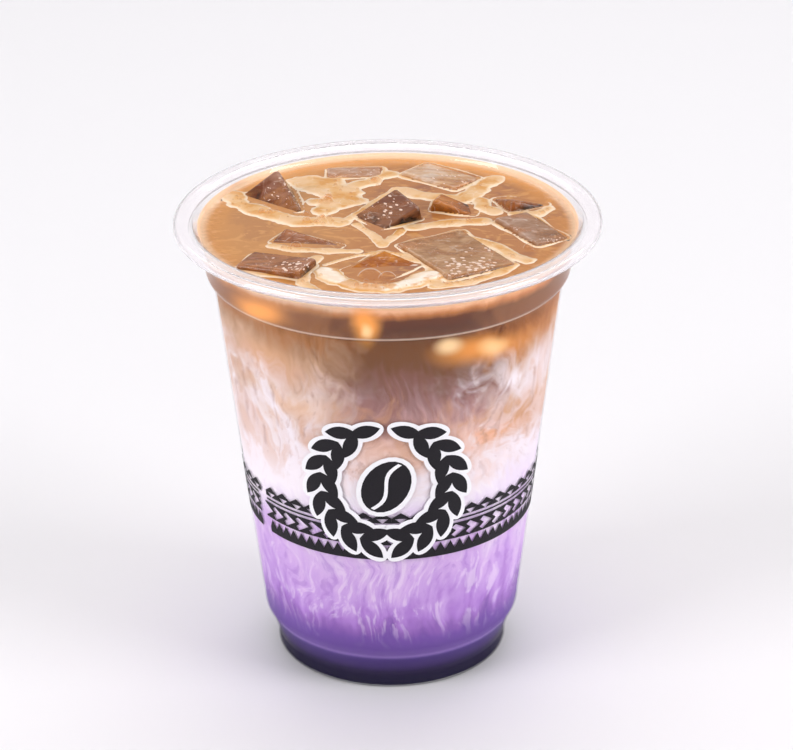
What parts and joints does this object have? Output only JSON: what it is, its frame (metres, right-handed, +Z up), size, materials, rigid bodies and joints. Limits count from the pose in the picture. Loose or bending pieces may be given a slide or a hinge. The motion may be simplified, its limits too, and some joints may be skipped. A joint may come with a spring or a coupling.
{
  "type": "ube latte",
  "caption": "Iced ube latte in a clear tapered cold cup: purple ube at the foot, marbled milk and coffee above, ice at the surface and a dark geometric band round the side.",
  "frame": {"origin": "centre of the ring that the cup stands on", "axes": "+Z up along the cup's axis; -Y towards the side that carries the emblem"},
  "size_m": [0.098, 0.098, 0.1118],
  "materials": {
    "clear_pet": "clear, glossy",
    "ube_syrup": "wet, deep purple",
    "ube_milk": "wet, lilac marbled with milk",
    "milk": "wet, clouded pinkish milk",
    "coffee": "wet, tan to dark brown",
    "ice": "wet, clear with cloudy cores",
    "crema": "fine foam",
    "black_ink": "printed",
    "white_ink": "printed"
  },
  "bodies": {
    "root": {"cup": "clear_pet", "ube_syrup": "ube_syrup", "ube_milk": "ube_milk", "milk": "milk", "coffee": "coffee", "ice_1": "ice", "ice_2": "ice", "ice_3": "ice", "ice_4": "ice", "ice_5": "ice", "ice_6": "ice", "ice_7": "ice", "ice_8": "ice", "ice_9": "ice", "ice_10": "ice", "ice_11": "ice"}
  },
  "joints": []
}
